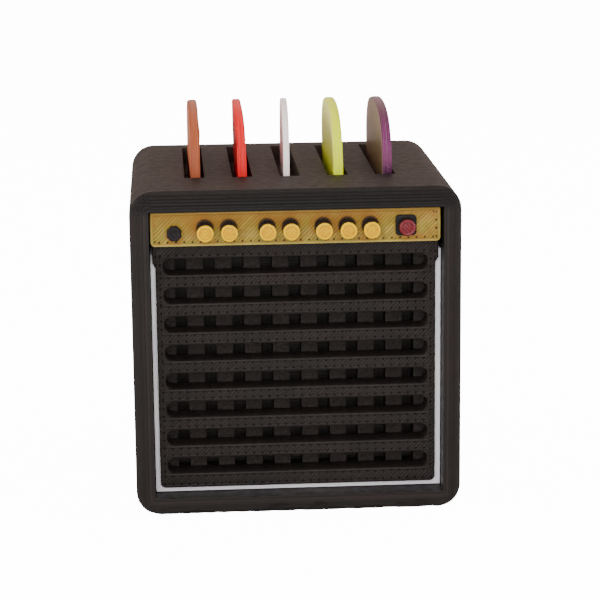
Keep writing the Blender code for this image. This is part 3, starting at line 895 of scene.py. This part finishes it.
def round_edges_at(obj, depth, radius, segments=3):
    """Rounds the sharp edges that lie in the upright plane at this depth."""
    bm = bmesh.new()
    bm.from_mesh(obj.data)
    bmesh.ops.dissolve_limit(
        bm, angle_limit=math.radians(0.5), verts=bm.verts, edges=bm.edges, delimit={"NORMAL"}
    )
    edges = [
        edge
        for edge in bm.edges
        if all(abs(v.co.y - depth) < 0.00001 for v in edge.verts)
        and len(edge.link_faces) == 2
        and edge.calc_face_angle(0) > math.radians(30)
    ]
    bmesh.ops.bevel(
        bm, geom=edges, offset=radius, segments=segments, profile=0.5, affect="EDGES",
        clamp_overlap=True,
    )
    bm.to_mesh(obj.data)
    bm.free()
    obj.data.shade_smooth()
    obj.data.set_sharp_from_angle(angle=math.radians(40))


def rectangle(low_x, high_x, low_z, high_z, radius):
    """Corners of a rectangle for filleted."""
    return (
        (low_x, low_z, radius),
        (high_x, low_z, radius),
        (high_x, high_z, radius),
        (low_x, high_z, radius),
    )


def control_places():
    """Middle of each control, whose spigot goes through the panel there."""
    names = ["input_jack", "pilot_lamp_lens"]
    names += [f"knob_cap_{number}" for number in range(1, KNOB_COUNT + 1)]
    return [sum(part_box(name), Vector()) / 2 for name in names]


def spigot_hole(middle):
    """Outline of the hole for a control's spigot, as (x, z) points."""
    radius = SPIGOT_RADIUS + SPIGOT_CLEARANCE
    points = []
    for step in range(HOLE_STEPS):
        angle = 2 * math.pi / HOLE_STEPS * step
        x = middle.x + radius * math.cos(angle)
        points.append(Vector((x, middle.z + radius * math.sin(angle))))
    return points


def grille_cutters(low, high, middle):
    """Solids that cut the slots between the bars, the gaps between the ribs and the holes."""
    cutters = []
    for row in range(SLOT_ROWS):
        bottom = SLOT_LOWEST + row * SLOT_PITCH
        sides = middle - SLOT_HALF, middle + SLOT_HALF
        outline = filleted(rectangle(*sides, bottom, bottom + SLOT_HEIGHT, SLOT_CORNER), steps=6)
        cutters.append(plate("slot_cutter", [outline], low.y - CUT_MARGIN, low.y + BAR_DEPTH))
    front = low.y + BAR_DEPTH - GAP_OVERLAP
    top = SLOT_LOWEST + (SLOT_ROWS - 1) * SLOT_PITCH + SLOT_HEIGHT
    for index in range(GAP_COUNT):
        x = middle + (index - (GAP_COUNT - 1) / 2) * GAP_PITCH
        corner = Vector((x - GAP_WIDTH / 2, front, SLOT_LOWEST - GAP_OVERRUN))
        opposite = Vector((x + GAP_WIDTH / 2, high.y + CUT_MARGIN, top + GAP_OVERRUN))
        cutters.append(box_object("gap_cutter", corner, opposite))
    for place in control_places():
        hole = spigot_hole(place)
        cutters.append(plate("hole_cutter", [hole], low.y - CUT_MARGIN, low.y + HOLE_DEPTH))
    return cutters


def grille():
    """The grille with its front edges rounded, its ribs behind and its spigot holes."""
    low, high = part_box("speaker_grille")
    middle = (low.x + high.x) / 2
    shoulder = HEADER_LOW - FIELD_SHOULDER
    outline = filleted(
        (
            (low.x, high.z, HEADER_CORNER),
            (low.x, HEADER_LOW, HEADER_CORNER),
            (middle - FIELD_HALF, shoulder, 0),
            (middle - FIELD_HALF, low.z, FIELD_CORNER),
            (middle + FIELD_HALF, low.z, FIELD_CORNER),
            (middle + FIELD_HALF, shoulder, 0),
            (high.x, HEADER_LOW, HEADER_CORNER),
            (high.x, high.z, HEADER_CORNER),
        )
    )
    body = plate("grille_body", [outline], low.y, low.y + FLANGE_THICK)
    sides = middle - BLOCK_HALF, middle + BLOCK_HALF
    heights = low.z + BLOCK_RISE, high.z - BLOCK_DROP
    block_outline = filleted(rectangle(*sides, *heights, BLOCK_CORNER))
    block = plate("grille_block", [block_outline], low.y + FLANGE_THICK / 2, high.y)
    boolean(body, block, "UNION")
    apply_modifiers(body)
    cutters = grille_cutters(low, high, middle)
    for cutter in cutters:
        boolean(body, cutter, "DIFFERENCE")
    apply_modifiers(body)
    for used in [block, *cutters]:
        bpy.data.objects.remove(used, do_unlink=True)
    round_edges_at(body, low.y, GRILLE_EDGE, segments=2)
    paint(body.data, grille_black(low, high))
    ride_and_replace(body, "speaker_grille")


def panel():
    """The gold panel with rounded front edges and its spigot holes."""
    low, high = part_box("control_panel")
    outline = filleted(
        (
            (low.x, low.z, PANEL_CORNER),
            (high.x, low.z, PANEL_CORNER),
            (high.x, high.z, PANEL_TOP_CORNER),
            (low.x, high.z, PANEL_TOP_CORNER),
        )
    )
    holes = [spigot_hole(place) for place in control_places()]
    body = plate("panel_face", [outline, *holes], low.y, high.y)
    round_edges_at(body, low.y, PANEL_EDGE)
    paint(body.data, panel_gold(low, high))
    ride_and_replace(body, "control_panel")


def piping():
    """The white U of piping, with its front edges rounded."""
    low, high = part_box("piping_trim")
    inner_low = low.z + TRIM_FOOT
    outline = filleted(
        (
            (low.x, high.z, 0),
            (low.x, low.z, TRIM_CORNER),
            (high.x, low.z, TRIM_CORNER),
            (high.x, high.z, 0),
            (TRIM_INNER_HALF, high.z, 0),
            (TRIM_INNER_HALF, inner_low, TRIM_INNER_CORNER),
            (-TRIM_INNER_HALF, inner_low, TRIM_INNER_CORNER),
            (-TRIM_INNER_HALF, high.z, 0),
        ),
        steps=4,
    )
    body = plate("piping", [outline], low.y, high.y)
    round_edges_at(body, low.y, TRIM_EDGE)
    paint(body.data, trim_white())
    ride_and_replace(body, "piping_trim")


def turned(name, profile, middle, material, sides=48, wobble=0.0, seed=0, turn=0.0):
    """Solid of revolution about the depth axis. The profile is (radius, y), front to back.

    wobble is the share of its radius that it loses between three slight lobes.
    """
    phase = random.Random(seed).uniform(0, 2 * math.pi)
    bm = bmesh.new()
    rings = []
    for radius, y in profile:
        if radius == 0:
            rings.append([bm.verts.new((middle.x, y, middle.z))])
            continue
        ring = []
        for k in range(sides):
            angle = turn + 2 * math.pi * k / sides
            uneven = radius * (1 - wobble * (0.5 + 0.5 * math.sin(3 * angle + phase)))
            x = middle.x + uneven * math.cos(angle)
            z = middle.z + uneven * math.sin(angle)
            ring.append(bm.verts.new((x, y, z)))
        rings.append(ring)
    for first, second in zip(rings, rings[1:]):
        for k in range(sides):
            after = (k + 1) % sides
            corners = [first[k % len(first)], first[after % len(first)]]
            corners += [second[after % len(second)], second[k % len(second)]]
            bm.faces.new(list(dict.fromkeys(corners)))
    return add_object(name, smooth_mesh(bm, name), material)


def face_profile(face, front):
    """Profile points across a control's face, from its middle outwards."""
    return [(radius * MM, front + behind * MM) for radius, behind in face]


def layered_side(radius, front, back, groove=GROOVE):
    """Profile points down a printed round side, from front to back."""
    count = max(1, round((back - front) / LAYER))
    step = (back - front) / count
    points = []
    for index in range(count):
        start = front + index * step
        for share, in_groove in ROUND_LAYER:
            points.append((radius - groove * in_groove, start + share * step))
    return points


def stem(radius, start, end):
    """Profile points of a plain spigot or pin at the back of a control."""
    return [(radius, start), (radius, end), (0, end)]


def panel_seat():
    """Depth of the controls' seats, just in front of the panel."""
    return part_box("control_panel")[0].y - SEAT_GAP


def knobs():
    """Seven posts and their gold caps, each cap with a raised rim line."""
    black = control_black()
    seat = panel_seat()
    for number in range(1, KNOB_COUNT + 1):
        low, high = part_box(f"knob_body_{number}")
        cap_low, cap_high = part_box(f"knob_cap_{number}")
        middle = (cap_low + cap_high) / 2
        radius = (high.x - low.x) / 2
        profile = [(0, low.y), (radius - POST_FACE_INSET, low.y)]
        profile += layered_side(radius, low.y, seat, POST_GROOVE)
        profile += stem(SPIGOT_RADIUS, seat, high.y)
        post = turned(f"knob_post_{number}", profile, middle, black, wobble=0.02, seed=number)
        ride_and_replace(post, f"knob_body_{number}")

        front, back = cap_low.y, low.y - SEAT_GAP
        radius = (cap_high.x - cap_low.x) / 2
        profile = face_profile(CAP_FACE, front)
        profile += layered_side(radius, front + CAP_SIDE, back)
        profile += stem(PIN_RADIUS, back, back + PIN_STUB)
        gold = cap_gold(f"cap_gold_{number}", middle)
        cap = turned(f"knob_disc_{number}", profile, middle, gold, wobble=0.03, seed=40 + number)
        ride_and_replace(cap, f"knob_cap_{number}")


def jack():
    """Eight-sided jack nut with a shallow round dish in its face."""
    low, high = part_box("input_jack")
    middle = (low + high) / 2
    half_side = math.pi / JACK_SIDES
    radius = (high.x - low.x) / 2 / math.cos(half_side)
    seat = panel_seat()
    profile = face_profile(JACK_DISH, low.y)
    profile += [(radius - inside * MM, low.y + behind * MM) for inside, behind in JACK_RIM]
    profile += layered_side(radius, low.y + JACK_SIDE, seat)
    profile += stem(SPIGOT_RADIUS, seat, high.y)
    black = control_black()
    nut = turned("jack_nut", profile, middle, black, sides=JACK_SIDES, turn=half_side)
    nut.data.set_sharp_from_angle(angle=math.radians(25))
    ride_and_replace(nut, "input_jack")


def lamp():
    """Square base and round boss of the lamp, and its red lens."""
    low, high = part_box("pilot_lamp_base")
    lens_low, lens_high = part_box("pilot_lamp_lens")
    middle = (lens_low + lens_high) / 2
    seat = panel_seat()
    black = control_black()
    outline = filleted(rectangle(low.x, high.x, low.z, high.z, LAMP_CORNER), steps=6)
    base = plate("lamp_base", [outline], seat - LAMP_BASE_PROUD, seat)
    round_edges_at(base, seat - LAMP_BASE_PROUD, LAMP_EDGE)
    paint(base.data, black)
    boss_back = seat - BOSS_OVERLAP
    profile = [(0, low.y), (LAMP_FACE_RADIUS, low.y)]
    profile += layered_side(LAMP_RADIUS, low.y, boss_back)
    profile += stem(SPIGOT_RADIUS, boss_back, high.y)
    boss = turned("lamp_boss", profile, middle, black, wobble=0.02, seed=9)
    boolean(base, boss, "UNION")
    apply_modifiers(base)
    base.data.set_sharp_from_angle(angle=SHARP_ANGLE)
    bpy.data.objects.remove(boss, do_unlink=True)
    ride_and_replace(base, "pilot_lamp_base")

    front, back = lens_low.y, low.y - SEAT_GAP
    profile = face_profile(LENS_FACE, front)
    profile += layered_side(LAMP_RADIUS, front + LENS_SIDE, back)
    profile += stem(PIN_RADIUS, back, back + PIN_STUB)
    lens = turned("lamp_lens", profile, middle, lens_red(middle), wobble=0.02, seed=12)
    ride_and_replace(lens, "pilot_lamp_lens")


def bezier(knots, steps):
    """Points round a closed Bezier outline; each knot is (place, handle before, handle after)."""
    points = []
    for index, (start, _, leaving) in enumerate(knots):
        end, arriving, _ = knots[(index + 1) % len(knots)]
        for step in range(steps):
            t = step / steps
            s = 1 - t
            points.append(
                Vector(start) * s**3
                + Vector(leaving) * 3 * s * s * t
                + Vector(arriving) * 3 * s * t * t
                + Vector(end) * t**3
            )
    return points


def shrunk(points, inset):
    """The outline moved inwards by inset, point by point. It runs clockwise."""
    moved = []
    for index, point in enumerate(points):
        along = (points[(index + 1) % len(points)] - points[index - 1]).normalized()
        moved.append(point + Vector((along.y, -along.x)) * inset)
    return moved


def pick_axes(node):
    """A pick's middle and its three axes: through it, across it and up it, with its size."""
    points = np.array([v.co for v in frame["nodes"][node].data.vertices])
    middle = points.mean(axis=0)
    normal = Vector(np.linalg.svd(points - middle, full_matrices=False)[2][2])
    if normal.x < 0:
        normal = -normal
    up = (Vector((0, 0, 1)) - normal * normal.z).normalized()
    across = up.cross(normal)
    axes = Matrix((normal, across, up)).transposed()
    local = points @ np.array(axes)
    lowest, highest = Vector(local.min(axis=0)), Vector(local.max(axis=0))
    return axes, (lowest + highest) / 2, highest - lowest


def pick(node, material, seed, nicks=()):
    """A pick as a stack of printed layers, on the CAD pick's own axes."""
    axes, middle, size = pick_axes(node)
    half = size.y / 2
    top = size.z / 2
    shoulder = top - PICK_SHOULDER
    across_top = PICK_TOP_ROUNDNESS * half
    across_tip = PICK_TIP_ROUNDNESS * half
    above, below = shoulder + PICK_SHOULDER_RISE, shoulder - PICK_SHOULDER_FALL
    knots = (
        ((0, top), (-across_top, top), (across_top, top)),
        ((half, shoulder), (half, above), (half, below)),
        ((0, -top), (across_tip, -top), (-across_tip, -top)),
        ((-half, shoulder), (-half, below), (-half, above)),
    )
    outline = bezier(knots, steps=20)
    edge = PICK_EDGE * size.x

    def outline_at(inset):
        return shrunk(outline, inset)

    stack = stacked_layers(
        size.x, outline_at, edge, seed, groove=GROOVE, spread=0.06 * MM, drift=0.0
    )
    rings = []
    for depth, ring in stack:
        local = [Vector((depth - size.x / 2, p.x, p.y)) + middle for p in ring]
        rings.append([axes @ point for point in local])
    body = add_object(f"{node}_printed", skin_rings(node, rings), material)
    for place, reach, bite in nicks:
        dent(body, axes, middle, Vector(place) * MM, reach * MM, Vector(bite) * MM)
    ride_and_replace(body, node)


def dent(obj, axes, middle, place, reach, bite):
    """Pushes the surface near a local place by bite, fading out over reach."""
    centre = axes @ (middle + place)
    push = axes @ bite
    for vertex in obj.data.vertices:
        near = 1 - (vertex.co - centre).length / reach
        if near > 0:
            vertex.co += push * (near * near * (3 - 2 * near))


def picks():
    """The five picks, from left to right."""
    copper = plain_pick("copper_plastic", (0.29, 0.070, 0.029), (0.40, 0.105, 0.043))
    pick("pick_copper", copper, 21, COPPER_NICKS)
    red = plain_pick("red_plastic", (0.64, 0.007, 0.010), (0.80, 0.016, 0.020))
    pick("pick_red", red, 22, RED_NICKS)
    white = plain_pick("pearl_plastic", (0.97, 0.90, 0.87), (0.90, 0.82, 0.79))
    pick("pick_white", white, 23)
    lime = plain_pick("lime_plastic", (0.66, 0.78, 0.0), (0.76, 0.85, 0.0), (0.86, 0.82, 0.30))
    pick("pick_lime", lime, 24)
    pick("pick_purple", glitter_pick("purple_glitter"), 25)


# Stage


def stage_floor():
    """A pale floor that the camera sees brighter than the light that it throws back."""
    bm = bmesh.new()
    bmesh.ops.create_grid(bm, x_segments=1, y_segments=1, size=FLOOR_SIZE)
    g = Nodes("floor_white", FLOOR, 0.9, specular=0.1)
    seen = g.tree.nodes.new("ShaderNodeLightPath").outputs["Is Camera Ray"]
    g.shader.inputs["Emission Color"].default_value = (1, 1, 1, 1)
    g.link(g.mul(seen, WHITE_GLOW), g.shader.inputs["Emission Strength"])
    floor = add_object("floor", mesh_from(bm, "floor"), g.material)
    floor.location.z = -FLOOR_DROP


def studio_light():
    """Warm room light, stronger behind, with soft lamps in front, above and at both sides.

    The camera itself sees a white backdrop in place of the room.
    """
    world = bpy.data.worlds.new("studio")
    world.use_nodes = True
    tree = world.node_tree
    link = tree.links.new
    background = tree.nodes["Background"]
    background.inputs["Color"].default_value = (*ROOM, 1)
    split = tree.nodes.new("ShaderNodeSeparateXYZ")
    link(tree.nodes.new("ShaderNodeTexCoord").outputs["Generated"], split.inputs[0])
    behind = tree.nodes.new("ShaderNodeMapRange")
    for socket, number in zip(list(behind.inputs)[1:5], (0.0, ROOM_TURN, *ROOM_STRENGTHS)):
        socket.default_value = number
    link(split.outputs["Y"], behind.inputs["Value"])
    link(behind.outputs[0], background.inputs["Strength"])
    white = tree.nodes.new("ShaderNodeBackground")
    white.inputs["Strength"].default_value = WHITE_GLOW
    rays = tree.nodes.new("ShaderNodeLightPath")
    choice = tree.nodes.new("ShaderNodeMixShader")
    link(rays.outputs["Is Camera Ray"], choice.inputs[0])
    link(background.outputs[0], choice.inputs[1])
    link(white.outputs[0], choice.inputs[2])
    link(choice.outputs[0], tree.nodes["World Output"].inputs["Surface"])
    bpy.context.scene.world = world
    for name, place, size, power in LAMPS:
        light = bpy.data.lights.new(name, "AREA")
        light.size = size
        light.energy = power
        obj = linked(name, light)
        obj.location = place
        ahead = Vector(LAMP_AIM) - Vector(place)
        obj.rotation_euler = ahead.to_track_quat("-Z", "Y").to_euler()


def camera():
    """Camera a little above and to the left, turned towards the cabinet's middle."""
    pitch, yaw, roll = (math.radians(angle) for angle in CAMERA_TURN)
    ahead = Vector(
        (math.sin(yaw) * math.cos(pitch), math.cos(yaw) * math.cos(pitch), -math.sin(pitch))
    )
    level = Vector((math.cos(yaw), -math.sin(yaw), 0))
    down = ahead.cross(level)
    right = level * math.cos(roll) + down * math.sin(roll)
    up = level * math.sin(roll) - down * math.cos(roll)
    data = bpy.data.cameras.new("camera")
    data.lens = CAMERA_LENS
    data.sensor_width = SENSOR_WIDTH
    data.clip_start, data.clip_end = CLIP_RANGE
    obj = linked("camera", data)
    turn = Matrix((right, up, -ahead)).transposed().to_4x4()
    obj.matrix_world = Matrix.Translation(CAMERA_PLACE) @ turn
    bpy.context.scene.camera = obj


cabinet_shell()
grille()
panel()
piping()
knobs()
jack()
lamp()
picks()
stage_floor()
studio_light()
camera()
